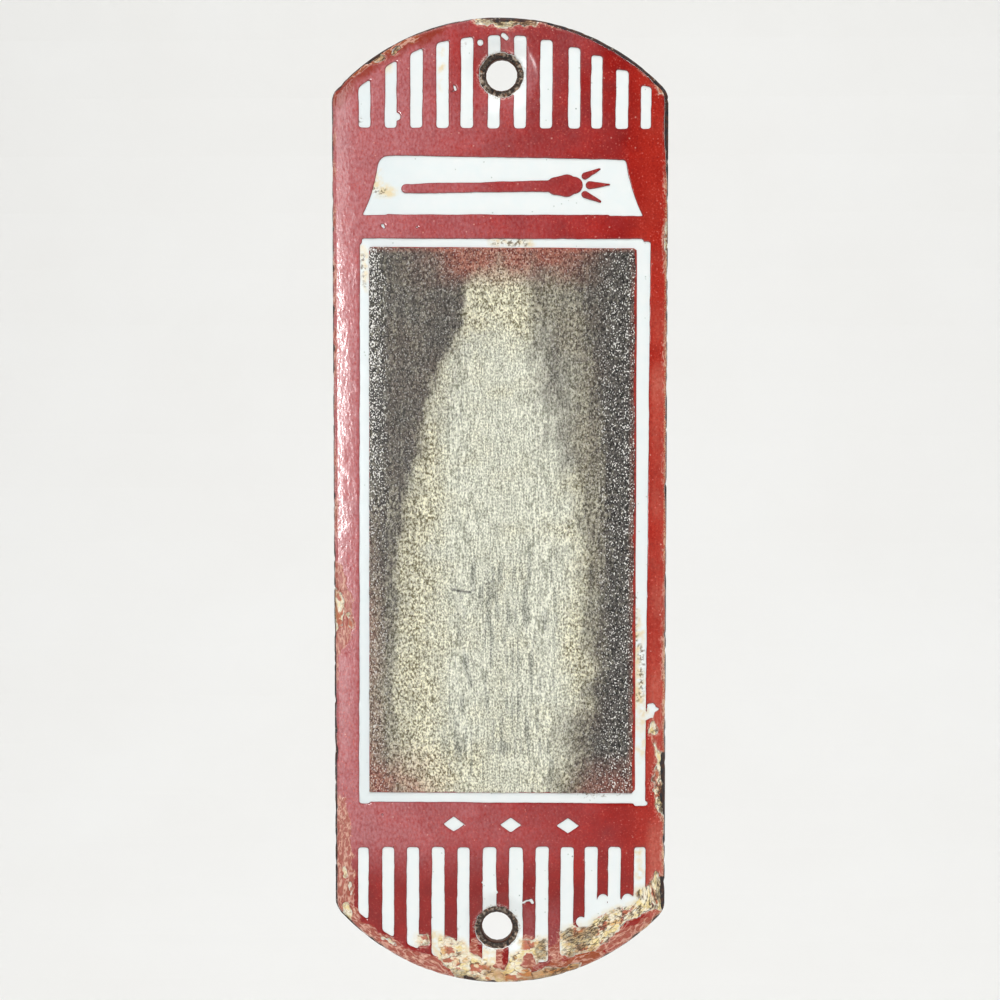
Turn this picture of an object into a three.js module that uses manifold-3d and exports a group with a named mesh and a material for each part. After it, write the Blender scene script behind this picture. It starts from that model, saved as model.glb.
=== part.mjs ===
// Enamelled match striker plate for a wall: a sheet-iron blank, dished at its two screw holes and
// crowned across its width, under fused coats of vitreous enamel, with a striking surface in its
// frame. Millimetres, +Z up. The face looks towards -Y and the wall plane is Y = 0.
//
// Everything is laid out flat first, layer on layer, with the dishes pressed in. The whole is bent
// to its crown at the end. In the flat layout a height runs from the back of the iron towards the
// face, along -Y, so the ground coat on the back lies below zero.
import * as THREE from "three";
import { mergeVertices } from "three/addons/utils/BufferGeometryUtils.js";
import Module from "manifold-3d";

const wasm = await Module();
wasm.setup();

// Outline and crown
const plateWidth = 44;
const plateHeight = 127;
const endArcRadius = 30;
const cornerRadius = 2.5;
const crown = 1.8;
const flatHalfWidth = 3.6;
const bendsPerSide = 7;

// Layers, and the clearance that each keeps to the one beneath it
const ironThickness = 1.2;
const ironEdgeRadius = 0.45;
const groundThickness = 0.18;
const whiteThickness = 0.2;
const redThickness = 0.14;
const gritThickness = 0.24;
const fusedGap = 0.01;

// Heights at which the two face coats end on the rounded rim
const whiteLap = 0.66;
const redLap = 0.74;

// Screw holes, each in a pressed dish. The coats step back from it, and the white coat clears the
// flat floor of the dish.
const holeSpacing = 112.2;
const ironHoleRadius = 2.05;
const groundHoleRadius = 2.2;
const dishFloorRadius = 2.65;
const whiteHoleRadius = 2.7;
const redHoleRadius = 2.95;
const dishRadius = 5.2;
const dishDepth = 0.6;
const roundSteps = 28;
const dishRings = 3;

// The red coat's stencil lies askew on the blank, and the line of the holes follows it
const lean = THREE.MathUtils.degToRad(0.3);
const stencilShift = 0.53;
const pathSteps = 2;

// Stripes at both ends, which fan out a little from an even pitch
const stripeCount = 12;
const stripePitch = 3.345;
const stripeWander = 0.24;
const stripeWidth = 1.52;
const stripeCorner = 0.3;
const stripeMargin = 1.95;
const topStripesFoot = 49.35;
const bottomStripesHead = -45.55;

// Label above the frame, a trapezium with hollow sides
const labelTop = { left: -16.6, right: 15.7, height: 45.5 };
const labelFoot = { left: -18.7, right: 18, height: 38.1 };
const labelCorner = 0.7;
const labelHollow = 0.35;

// Frame line round the striking surface, and the margin of red that is left inside it
const frame = { left: -19.15, right: 19.05, foot: -39.45, top: 35.2 };
const frameSide = 1.45;
const frameRail = 1.32;
const frameCorner = 0.35;
const gritMargin = { left: 0.15, right: 0.55, foot: 0.25, top: 0.2 };

const coatsThickness = groundThickness + whiteThickness + redThickness;
const whiteFace = groundThickness + whiteThickness;
const redFace = whiteFace + redThickness;
const reach = 2 * plateHeight;

const holes = [1, -1].map((end) => ({
  x: (end * holeSpacing * Math.sin(lean)) / 2,
  z: (end * holeSpacing * Math.cos(lean)) / 2,
}));

// Solids

function solidOf(geometry) {
  const bare = new THREE.BufferGeometry();
  bare.setAttribute("position", geometry.getAttribute("position"));
  bare.setIndex(geometry.index);
  const merged = mergeVertices(bare, 1e-4);
  return new wasm.Manifold(
    new wasm.Mesh({
      numProp: 3,
      vertProperties: new Float32Array(merged.attributes.position.array),
      triVerts: new Uint32Array(merged.index.array),
    }),
  );
}

// A flat outline raised from one height to another, with its edges rounded.
function raise(shape, from, to, edgeRadius = 0) {
  const geometry = new THREE.ExtrudeGeometry(shape, {
    depth: to - from - 2 * edgeRadius,
    bevelEnabled: edgeRadius > 0,
    bevelThickness: edgeRadius,
    bevelSize: edgeRadius,
    bevelOffset: -edgeRadius,
    bevelSegments: 2,
    curveSegments: pathSteps,
  });
  return solidOf(geometry.translate(0, 0, from + edgeRadius).rotateX(Math.PI / 2));
}

function slab(from, to) {
  const geometry = new THREE.BoxGeometry(reach, to - from, reach);
  return solidOf(geometry.translate(0, -(from + to) / 2, 0));
}

function atHoles(geometry) {
  const [upper, lower] = holes.map(({ x, z }) => solidOf(geometry.clone().translate(x, 0, z)));
  return upper.add(lower);
}

function drill(radius) {
  return atHoles(new THREE.CylinderGeometry(radius, radius, reach, roundSteps));
}

// What the dishing punch pushes out of the way above a height: a flat floor and an S-curved wall.
function punch(height) {
  const floor = dishDepth - height;
  const profile = [new THREE.Vector2(0, floor)];
  for (let ring = 0; ring <= dishRings; ring++) {
    const share = ring / dishRings;
    const rise = dishDepth * THREE.MathUtils.smoothstep(share, 0, 1);
    const radius = THREE.MathUtils.lerp(dishFloorRadius, dishRadius, share);
    profile.push(new THREE.Vector2(radius, floor - rise));
  }
  profile.push(new THREE.Vector2(dishRadius, -height - reach));
  profile.push(new THREE.Vector2(0, -height - reach));
  return atHoles(new THREE.LatheGeometry(profile.reverse(), roundSteps));
}

// The plate grown by a thickness of enamel on its face, its back and its rim.
function grown(thickness) {
  const back = -thickness;
  const face = ironThickness + thickness;
  const flat = raise(outline(coatsThickness - thickness), back, face, ironEdgeRadius + thickness);
  const pushedOut = punch(back).intersect(slab(back - dishDepth, face));
  return flat.subtract(punch(face)).add(pushedOut.subtract(punch(face)));
}

// A coat from one depth of enamel to the next, clear of the holes.
function coat(from, to, clearRadius) {
  return grown(to).subtract(grown(from + fusedGap)).subtract(drill(clearRadius));
}

// Outlines, drawn with x across the plate and y up it

function arc(x, y, radius, from, to) {
  const degreesPerStep = 8;
  const steps = 2 * Math.round(THREE.MathUtils.radToDeg(to - from) / (2 * degreesPerStep));
  return new THREE.EllipseCurve(x, y, radius, radius, from, to).getPoints(steps);
}

// The blank's outline: straight sides, an arc at each end and a round at each corner.
function outline(inset) {
  const cornerX = plateWidth / 2 - cornerRadius;
  const arcY = plateHeight / 2 - endArcRadius;
  const cornerY = arcY + Math.sqrt((endArcRadius - cornerRadius) ** 2 - cornerX ** 2);
  const turn = Math.atan2(cornerY - arcY, cornerX);
  const end = [
    ...arc(cornerX, cornerY, cornerRadius - inset, 0, turn),
    ...arc(0, arcY, endArcRadius - inset, turn, Math.PI - turn).slice(1),
    ...arc(-cornerX, cornerY, cornerRadius - inset, Math.PI - turn, Math.PI).slice(1),
  ];
  const oppositeEnd = end.map((point) => point.clone().negate());
  return new THREE.Shape([...end, ...oppositeEnd]);
}

// Where a point of the stencil falls on the blank.
function stencil(x, y) {
  return new THREE.Vector2(x, y)
    .rotateAround(new THREE.Vector2(), -lean)
    .add(new THREE.Vector2(stencilShift, 0));
}

// A stencil opening through corners given counter-clockwise, each of them rounded off.
function opening(corners, radius) {
  const shape = new THREE.Shape();
  corners.forEach(([x, y], i) => {
    const corner = stencil(x, y);
    const towards = ([otherX, otherY]) =>
      stencil(otherX, otherY).sub(corner).setLength(radius).add(corner);
    const enter = towards(corners.at(i - 1));
    const leave = towards(corners[(i + 1) % corners.length]);
    if (i === 0) shape.moveTo(enter.x, enter.y);
    else shape.lineTo(enter.x, enter.y);
    shape.quadraticCurveTo(corner.x, corner.y, leave.x, leave.y);
  });
  shape.closePath();
  return shape;
}

function rectangle({ left, right, foot, top }, radius) {
  return opening([[left, foot], [right, foot], [right, top], [left, top]], radius);
}

// How far up the plate an outer stripe end may reach at x, along the margin inside the end arc.
function stripeEnd(x) {
  const radius = endArcRadius - stripeMargin;
  return plateHeight / 2 - endArcRadius + Math.sqrt(radius ** 2 - (x + stencilShift) ** 2);
}

function stripePair(index) {
  const step = index - (stripeCount - 1) / 2;
  const centre = stripePitch * step + stripeWander * Math.sin((2 * Math.PI * step) / stripeCount);
  const left = centre - stripeWidth / 2;
  const right = centre + stripeWidth / 2;
  const [leftEnd, rightEnd] = [stripeEnd(left), stripeEnd(right)];
  const topCorners = [
    [left, topStripesFoot],
    [right, topStripesFoot],
    [right, rightEnd],
    [left, leftEnd],
  ];
  const bottomCorners = [
    [left, -leftEnd],
    [right, -rightEnd],
    [right, bottomStripesHead],
    [left, bottomStripesHead],
  ];
  return [opening(topCorners, stripeCorner), opening(bottomCorners, stripeCorner)];
}

function labelOpening() {
  const waist = (labelTop.height + labelFoot.height) / 2;
  const leftWaist = (labelTop.left + labelFoot.left) / 2 + labelHollow;
  const rightWaist = (labelTop.right + labelFoot.right) / 2 - labelHollow;
  return opening(
    [
      [labelFoot.left, labelFoot.height],
      [labelFoot.right, labelFoot.height],
      [rightWaist, waist],
      [labelTop.right, labelTop.height],
      [labelTop.left, labelTop.height],
      [leftWaist, waist],
    ],
    labelCorner,
  );
}

// The area inside the frame line, less a margin on each side.
function panelOutline(margin) {
  return rectangle(
    {
      left: frame.left + frameSide + margin.left,
      right: frame.right - frameSide - margin.right,
      foot: frame.foot + frameRail + margin.foot,
      top: frame.top - frameRail - margin.top,
    },
    frameCorner,
  );
}

// Layers

function ironPlate() {
  return grown(0).subtract(drill(ironHoleRadius));
}

// One skin over face, back and rim, open only at the screw holes.
function groundCoat() {
  return coat(0, groundThickness, groundHoleRadius);
}

function whiteCoat() {
  return coat(groundThickness, whiteFace, whiteHoleRadius).subtract(slab(-reach, whiteLap));
}

function redCoat() {
  const stripes = Array.from({ length: stripeCount }, (_, index) => stripePair(index)).flat();
  const windows = [...stripes, labelOpening(), rectangle(frame, frameCorner)];
  return windows.reduce(
    (field, window) => field.subtract(raise(window, redLap, ironThickness + reach)),
    coat(whiteFace, redFace, redHoleRadius).subtract(slab(-reach, redLap)),
  );
}

function panelCoat() {
  const margin = { left: 0, right: 0, foot: 0, top: 0 };
  return raise(
    panelOutline(margin),
    ironThickness + whiteFace + fusedGap,
    ironThickness + redFace,
  );
}

function strikingSurface() {
  const foot = ironThickness + redFace + fusedGap;
  return raise(panelOutline(gritMargin), foot, foot + gritThickness);
}

// Bending

const crownRadius = ((plateWidth / 2) ** 2 + crown ** 2) / (2 * crown);
const bendLines = Array.from({ length: bendsPerSide + 1 }, (_, i) =>
  THREE.MathUtils.lerp(flatHalfWidth, plateWidth / 2, i / bendsPerSide),
);

// Height of the crown at x. The middle stays flat, so that the screw seats do, and each strip
// beside it runs straight from one bend line to the next.
function crownHeight(x) {
  const rise = (at) => Math.sqrt(crownRadius ** 2 - at ** 2);
  const outer = bendLines.find((line) => line > Math.abs(x)) ?? plateWidth / 2;
  if (outer === flatHalfWidth) return rise(flatHalfWidth);
  const inner = bendLines[bendLines.indexOf(outer) - 1];
  const share = (Math.abs(x) - inner) / (outer - inner);
  return THREE.MathUtils.lerp(rise(inner), rise(outer), share);
}

// The solid with every point lifted off the wall by as much as the crown stands there.
function crowned(solid) {
  const { vertProperties, triVerts } = solid.getMesh();
  const points = vertProperties.map((value, i) =>
    i % 3 === 1 ? value - crownHeight(vertProperties[i - 1]) : value,
  );
  return new wasm.Manifold(new wasm.Mesh({ numProp: 3, vertProperties: points, triVerts }));
}

// Parts the flat solid at the bend lines, tilts each strip, and joins them again.
function bend(solid) {
  const lines = [...bendLines.map((line) => -line).reverse(), ...bendLines];
  const strips = lines.slice(1).map((right, i) => {
    const left = lines[i];
    const strip = new THREE.BoxGeometry(right - left, reach, reach);
    return crowned(solid.intersect(solidOf(strip.translate((left + right) / 2, 0, 0))));
  });
  const { vertProperties, triVerts } = strips.reduce((joined, strip) => joined.add(strip)).getMesh();
  const geometry = new THREE.BufferGeometry();
  geometry.setAttribute("position", new THREE.BufferAttribute(vertProperties, 3));
  geometry.setIndex(new THREE.BufferAttribute(triVerts, 1));
  return geometry.toNonIndexed();
}

// Assembly

function finish(color, roughness, metalness = 0) {
  return new THREE.MeshStandardMaterial({ color, roughness, metalness });
}

const layers = [
  ["iron_plate", ironPlate(), finish(0x5b4a40, 0.8, 0.6)],
  ["ground_coat", groundCoat(), finish(0x23252b, 0.35)],
  ["white_coat", whiteCoat(), finish(0xe9efee, 0.2)],
  ["red_coat", redCoat(), finish(0xa52c28, 0.15)],
  ["panel_coat", panelCoat(), finish(0x8f2823, 0.3)],
  ["striking_surface", strikingSurface(), finish(0x8d897a, 0.95)],
];

const plate = new THREE.Group();
for (const [name, solid, material] of layers) {
  const mesh = new THREE.Mesh(bend(solid), material);
  mesh.name = name;
  plate.add(mesh);
}

// The back of the ground coat touches the wall along the plate's two long edges.
plate.position.y = -new THREE.Box3().setFromObject(plate).max.y;

export default plate;
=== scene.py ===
"""Enamelled match striker plate: the finish of its iron, its enamel coats and its striking surface.

Every layer of the plate lies over the one beneath it, so each is described by two things: the line
where it ends, and the heights of its foot and its head. A line is a function of x and z that gives
the depth inside it in millimetres, and a height is counted from the back of the iron.
"""

import math

import bmesh
import bpy
import numpy as np
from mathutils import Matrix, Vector

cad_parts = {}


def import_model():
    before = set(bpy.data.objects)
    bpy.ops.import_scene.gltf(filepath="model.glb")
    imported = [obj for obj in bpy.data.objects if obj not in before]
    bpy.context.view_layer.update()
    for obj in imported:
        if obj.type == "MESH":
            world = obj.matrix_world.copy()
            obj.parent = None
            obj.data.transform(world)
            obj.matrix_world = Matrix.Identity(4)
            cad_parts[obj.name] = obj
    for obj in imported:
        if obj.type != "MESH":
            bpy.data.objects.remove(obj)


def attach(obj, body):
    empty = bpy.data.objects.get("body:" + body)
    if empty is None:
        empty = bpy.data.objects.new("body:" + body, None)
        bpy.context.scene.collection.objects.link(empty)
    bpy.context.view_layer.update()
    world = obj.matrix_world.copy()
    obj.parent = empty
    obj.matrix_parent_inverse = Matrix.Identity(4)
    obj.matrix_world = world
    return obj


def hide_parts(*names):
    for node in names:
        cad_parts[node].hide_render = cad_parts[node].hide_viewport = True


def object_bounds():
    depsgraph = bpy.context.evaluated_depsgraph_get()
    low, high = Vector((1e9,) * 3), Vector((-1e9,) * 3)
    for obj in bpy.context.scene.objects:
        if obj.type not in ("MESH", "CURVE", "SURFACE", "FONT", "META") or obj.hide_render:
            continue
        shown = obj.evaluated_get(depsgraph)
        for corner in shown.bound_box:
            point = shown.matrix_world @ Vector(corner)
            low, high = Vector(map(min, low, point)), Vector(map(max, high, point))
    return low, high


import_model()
cad_low, cad_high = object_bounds()
bpy.ops.object.select_all(action="DESELECT")

MM = 0.001

# Plate, in millimetres
HALF_WIDTH = (cad_high.x - cad_low.x) / 2 / MM
HALF_HEIGHT = (cad_high.z - cad_low.z) / 2 / MM
END_RADIUS = 30.0
CORNER_RADIUS = 2.5
CROWN = 1.75
WALL_GAP = 0.03
HOLE_SPACING = 112.2
IRON_HOLE = 2.05
GROUND_HOLE = 2.2
DISH_FLOOR = 2.65
DISH_RIM = 5.2
DISH_DEPTH = 0.6

# Where the count along the rim starts at the top end
AROUND_TOP = 200

# Thickness of the layers
IRON = 1.2
GROUND = 0.18
WHITE = 0.2
RED = 0.14
GRIT = 0.24
CLEAR = 0.005

# Rounding of the rim, on the face and on the back
FACE_ROUND = 0.6
BACK_ROUND = 0.9
IRON_INSET = 0.25
IRON_ROUND = 0.45

# Stencil
LEAN = math.radians(0.3)
SHIFT = 0.53
STRIPE_MARGIN = 1.9
TOP_STRIPES_FOOT = 49.35
TOP_FOOT_SLOPE = 0.003
BOTTOM_STRIPES_HEAD = 45.5
BOTTOM_HEAD_SLOPE = 0.0149
LABEL_HEAD = 45.8
LABEL_HEAD_SLOPE = 0.0154
LABEL_FOOT = 38.04
LABEL_HEAD_SIDES = (-16.6, 15.7)
LABEL_FOOT_SIDES = (-18.7, 18.0)
LABEL_HOLLOW = 0.45
FRAME_INSIDE = (-17.72, 17.43, -38.17, 33.9)
LOZENGE_CENTRES = (-6.4, 1.2, 8.8)
LOZENGE_HEIGHT = -42.5
MATCH = [
    [(-13.0, 41.5, 0.62), (6.2, 41.9, 0.72)],
    [(6.6, 41.9, 1.15), (8.0, 41.95, 1.45), (9.0, 42.0, 1.1)],
    [(11.0, 42.0, 0.5), (13.6, 42.1, 0.12)],
    [(10.4, 43.2, 0.45), (12.3, 44.1, 0.12)],
    [(10.4, 40.8, 0.45), (12.4, 39.9, 0.12)],
]

# Centre and width of each stripe, and how much it falls short of the arc
TOP_STRIPES = (
    (-18.43, 1.5, 0.0), (-14.99, 1.5, -0.1), (-11.65, 1.59, -0.05), (-8.23, 1.59, 0.05),
    (-5.06, 1.59, 0.22), (-1.54, 1.53, 0.27), (1.87, 1.56, 0.27), (5.27, 1.56, 0.27),
    (8.93, 1.53, 0.2), (11.83, 1.42, 0.0), (15.13, 1.59, 0.0), (18.25, 1.3, -0.35),
)
BOTTOM_STRIPES = (
    (-18.46, 1.39, 0.0), (-15.14, 1.56, 0.0), (-11.82, 1.59, 0.05), (-8.45, 1.68, 0.0),
    (-5.09, 1.62, 0.0), (-1.61, 1.8, 0.1), (1.92, 1.83, 0.1), (5.4, 1.71, 0.0),
    (8.72, 1.74, 0.0), (11.91, 1.68, 0.0), (15.01, 1.65, 0.0), (18.36, 1.53, 0.0),
)

# Mesh spacing of the layers
IRON_SPACING = 0.7
GROUND_SPACING = 0.42
WHITE_SPACING = 0.26
RED_SPACING = 0.17
PANEL_SPACING = 0.5
GRIT_SPACING = 0.17
SHORTEST_CUT = 0.012
FOOT_FLATNESS = math.radians(1)
SMOOTH_ANGLE = math.radians(40)

# Side of the square of random numbers that noise repeats
LATTICE = 512

ENAMEL_IOR = 1.5

# Camera, in millimetres and radians
CAMERA_DISTANCE = 300.0
CAMERA_AZIMUTH = math.radians(2.32)
CAMERA_ELEVATION = math.radians(3.87)
CAMERA_TARGET = (0.005, 0.0, 0.698)
FOCAL_LENGTH = 81.53
SENSOR_WIDTH = 36


# Fields

def noise(x, z, size, seed, stretch=1.0):
    """Smooth noise from -1 to 1 with bumps about size across, drawn out upwards by stretch."""
    lattice = np.random.default_rng(seed).uniform(-1, 1, (LATTICE, LATTICE))
    across, up = x / size, z / (size * stretch)
    column, row = np.floor(across).astype(int), np.floor(up).astype(int)
    across, up = smooth(across - column), smooth(up - row)

    def corner(i, j):
        return lattice[(column + i) % LATTICE, (row + j) % LATTICE]

    low = corner(0, 0) * (1 - across) + corner(1, 0) * across
    high = corner(0, 1) * (1 - across) + corner(1, 1) * across
    return low * (1 - up) + high * up


def rough(x, z, size, seed, layers=3):
    """Noise with finer noise on it."""
    return sum(noise(x, z, size / 2**i, seed + i) / 2**i for i in range(layers))


def unit(value):
    """The value, or the nearer of 0 and 1 where it lies past them."""
    return np.clip(value, 0, 1)


def smooth(share):
    share = unit(share)
    return share * share * (3 - 2 * share)


def between(value, start, end):
    """Rises smoothly from 0 at start to 1 at end."""
    return smooth((value - start) / (end - start))


def least(*depths, radius=0.0):
    """The least of the depths, with the corners between them rounded."""
    result = depths[0]
    for depth in depths[1:]:
        if radius:
            share = unit(0.5 + 0.5 * (depth - result) / radius)
            result = depth * (1 - share) + result * share - radius * share * (1 - share)
        else:
            result = np.minimum(result, depth)
    return result


def stroke(x, z, points):
    """Depth inside a brush stroke through points given as x, z and radius."""
    depth = np.full_like(x, -np.inf)
    for (x0, z0, r0), (x1, z1, r1) in zip(points, points[1:] or points):
        run_x, run_z = x1 - x0, z1 - z0
        length = max(run_x**2 + run_z**2, 1e-9)
        share = unit(((x - x0) * run_x + (z - z0) * run_z) / length)
        distance = np.hypot(x - x0 - share * run_x, z - z0 - share * run_z)
        depth = np.maximum(depth, r0 + share * (r1 - r0) - distance)
    return depth


def strokes(x, z, groups):
    return np.max([stroke(x, z, points) for points in groups], axis=0)


def patch(x, z, points):
    """Depth inside a patch outlined by points given as x and z."""
    away = np.full_like(x, np.inf)
    inside = np.zeros(x.shape, dtype=bool)
    for (x0, z0), (x1, z1) in zip(points, points[1:] + points[:1]):
        away = np.minimum(away, -stroke(x, z, [(x0, z0, 0), (x1, z1, 0)]))
        if z0 != z1:
            crossing = x0 + (x1 - x0) * (z - z0) / (z1 - z0)
            inside ^= ((z0 > z) != (z1 > z)) & (x < crossing)
    return np.where(inside, away, -away)


def patches(x, z, outlines):
    return np.max([patch(x, z, points) for points in outlines], axis=0)


def flakes(x, z, size, seed):
    """A random level from 0 to 1 for each flake, and the distance to the flake's nearest edge."""
    draw = np.random.default_rng(seed)
    centres = draw.uniform(0, 1, (2, LATTICE, LATTICE))
    levels = draw.uniform(0, 1, (LATTICE, LATTICE))
    across, up = x / size, z / size
    column, row = np.floor(across).astype(int), np.floor(up).astype(int)
    nearest, second = np.full_like(x, np.inf), np.full_like(x, np.inf)
    level = np.zeros_like(x)
    for i in (-1, 0, 1):
        for j in (-1, 0, 1):
            cell = (column + i) % LATTICE, (row + j) % LATTICE
            away_x = across - column - i - centres[0][cell]
            away_z = up - row - j - centres[1][cell]
            away = np.hypot(away_x, away_z)
            closer = away < nearest
            second = np.where(closer, nearest, np.minimum(second, away))
            level = np.where(closer, levels[cell], level)
            nearest = np.minimum(nearest, away)
    return level, (second - nearest) * size / 2


# Plate

def rim_depth(x, z):
    """Distance inside the plate's outline."""
    across, up = np.abs(x), np.abs(z)
    arc_z = HALF_HEIGHT - END_RADIUS
    corner_x = HALF_WIDTH - CORNER_RADIUS
    corner_z = arc_z + math.sqrt((END_RADIUS - CORNER_RADIUS) ** 2 - corner_x**2)
    depth = least(HALF_WIDTH - across, END_RADIUS - np.hypot(across, np.maximum(up - arc_z, 0)))
    corner = CORNER_RADIUS - np.hypot(across - corner_x, up - corner_z)
    slope = (corner_z - arc_z) / corner_x
    in_corner = (across > corner_x) & (up > corner_z) & (up - corner_z < slope * (across - corner_x))
    return np.where(in_corner, corner, depth)


def from_hole(x, z):
    """Distance to the centre of the nearer screw hole."""
    end = np.where(z < 0, -1, 1)
    hole_x = end * HOLE_SPACING / 2 * math.sin(LEAN)
    hole_z = end * HOLE_SPACING / 2 * math.cos(LEAN)
    return np.hypot(x - hole_x, z - hole_z)


def around(x, z):
    """How far along the rim a place is, from the middle of the nearer end.

    The count starts further on at the top, where patterns along the rim are to be others.
    """
    arc_z = HALF_HEIGHT - END_RADIUS
    turn = np.arctan2(np.abs(x), np.maximum(np.abs(z) - arc_z, 0.001))
    length = END_RADIUS * turn + np.maximum(arc_z - np.abs(z), 0)
    return np.sign(x) * length + np.where(z < 0, 0, AROUND_TOP)


def dish(x, z):
    return DISH_DEPTH * (1 - between(from_hole(x, z), DISH_FLOOR, DISH_RIM))


def rounding(x, z, radius, inset=0.0):
    """How far the rounded rim falls away from the flat of the plate."""
    inside = np.clip(radius + inset - rim_depth(x, z), 0, radius)
    return radius - np.sqrt(radius**2 - inside**2)


def face(x, z):
    """Height of the ground coat's face."""
    return IRON + GROUND - rounding(x, z, FACE_ROUND) - dish(x, z)


def back(x, z):
    """Height of the ground coat's back."""
    return rounding(x, z, BACK_ROUND) - GROUND - dish(x, z)


def iron_face(x, z):
    return IRON - rounding(x, z, IRON_ROUND, IRON_INSET) - dish(x, z)


def iron_back(x, z):
    return rounding(x, z, BACK_ROUND - GROUND, IRON_INSET) - dish(x, z)


def off_wall(x, height):
    """Y of a height, in metres, once the plate is crowned."""
    crown = CROWN * (1 - (x / HALF_WIDTH) ** 2)
    return -(height + crown + WALL_GAP) * MM


# Stencil

def flattened(x, z):
    """Where the camera would see a point of the crowned plate if the plate were flat."""
    eye_x = CAMERA_TARGET[0] + CAMERA_DISTANCE * math.sin(CAMERA_AZIMUTH)
    eye_z = CAMERA_TARGET[2] + CAMERA_DISTANCE * math.sin(CAMERA_ELEVATION)
    nearer = 1 - CROWN * (1 - (x / HALF_WIDTH) ** 2) / CAMERA_DISTANCE
    return eye_x + (x - eye_x) / nearer, eye_z + (z - eye_z) / nearer


def on_stencil(x, z):
    """Where a point of the plate falls on the stencil, which lies askew on it."""
    x, z = flattened(x, z)
    x = x - SHIFT
    return (
        x * math.cos(LEAN) - z * math.sin(LEAN),
        x * math.sin(LEAN) + z * math.cos(LEAN),
    )


def stripes(x, z):
    """Depth inside the stripes at both ends."""
    arc_z = HALF_HEIGHT - END_RADIUS
    depth = np.full_like(x, -np.inf)
    for end, rows, start in (
        (1, TOP_STRIPES, TOP_STRIPES_FOOT - TOP_FOOT_SLOPE * x),
        (-1, BOTTOM_STRIPES, BOTTOM_STRIPES_HEAD - BOTTOM_HEAD_SLOPE * x),
    ):
        for centre, width, short in rows:
            slant = 0.9 if centre < 0 else 0.25
            across = centre + slant * (x - centre) + SHIFT
            tip = arc_z + np.sqrt(np.maximum((END_RADIUS - STRIPE_MARGIN) ** 2 - across**2, 0)) - short
            side = width / 2 - np.abs(x - centre)
            depth = np.maximum(depth, least(side, end * z - start, tip - end * z, radius=0.45))
    return depth


def label(x, z):
    """Depth inside the label, whose sides are hollow and whose foot is stepped at both ends."""
    share = (z - LABEL_FOOT) / (LABEL_HEAD - LABEL_FOOT)
    hollow = LABEL_HOLLOW * 4 * share * (1 - share)
    left, right = [
        foot + (head - foot) * share
        for foot, head in zip(LABEL_FOOT_SIDES, LABEL_HEAD_SIDES)
    ]
    head = LABEL_HEAD - LABEL_HEAD_SLOPE * (x - LABEL_HEAD_SIDES[0])
    foot = LABEL_FOOT + 0.12 * between(x, -15.6, -15.4) * between(x, 13.7, 13.5)
    depth = least(x - left - hollow, head - z, radius=1.5)
    depth = least(depth, right - hollow - x, radius=0.6)
    return least(depth, z - foot, radius=0.25)


def lozenges(x, z):
    """Depth inside the three lozenges under the frame."""
    depth = np.full_like(x, -np.inf)
    for centre in LOZENGE_CENTRES:
        away = np.abs(x - centre) * 0.55 + np.abs(z - LOZENGE_HEIGHT) * 0.8
        depth = np.maximum(depth, 0.8 - away)
    return depth


def bar(x, z, left, right, foot, head):
    return least(x - left, right - x, z - foot, head - z, radius=0.3)


def inside_frame(x, z, left=0.0, right=0.0, foot=0.0, head=0.0):
    """Depth inside the frame line, or inside an opening that is smaller by the given margins."""
    return least(
        x - FRAME_INSIDE[0] - left + 0.002 * z,
        FRAME_INSIDE[1] - right - x - 0.005 * z,
        z - FRAME_INSIDE[2] - foot - 0.0088 * x,
        FRAME_INSIDE[3] - head - z - 0.002 * x,
        radius=0.12,
    )


def frame_line(x, z):
    """Depth inside the frame line. Its bars don't quite meet its rails, as they were cut by hand."""
    bars = [
        bar(x, z, -19.02, -17.6, -39.87, 34.39),
        bar(x, z, 17.55, 18.98, -39.68, 34.68),
        bar(x, z, -18.75, 18.05, 33, 35.03),
        bar(x, z, -18.7, 18.7, -39.48 + 0.007 * x, -37),
        stroke(x, z, [(17.9, -39.4, 0.3), (19.0, -39.35, 0.3)]),
    ]
    return least(np.max(bars, axis=0), -inside_frame(x, z))


def windows(x, z):
    """Depth inside the openings of the red coat."""
    wobble = 0.045 * rough(x, z, 3.0, 11) + 0.02 * noise(x, z, 0.6, 17)
    x, z = on_stencil(x, z)
    white_label = least(label(x, z), -strokes(x, z, MATCH))
    return np.max([stripes(x, z), white_label, lozenges(x, z), frame_line(x, z)], axis=0) + wobble


# Wear. A patch is outlined by points with x and z, and a stroke has points with x, z and radius.

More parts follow.
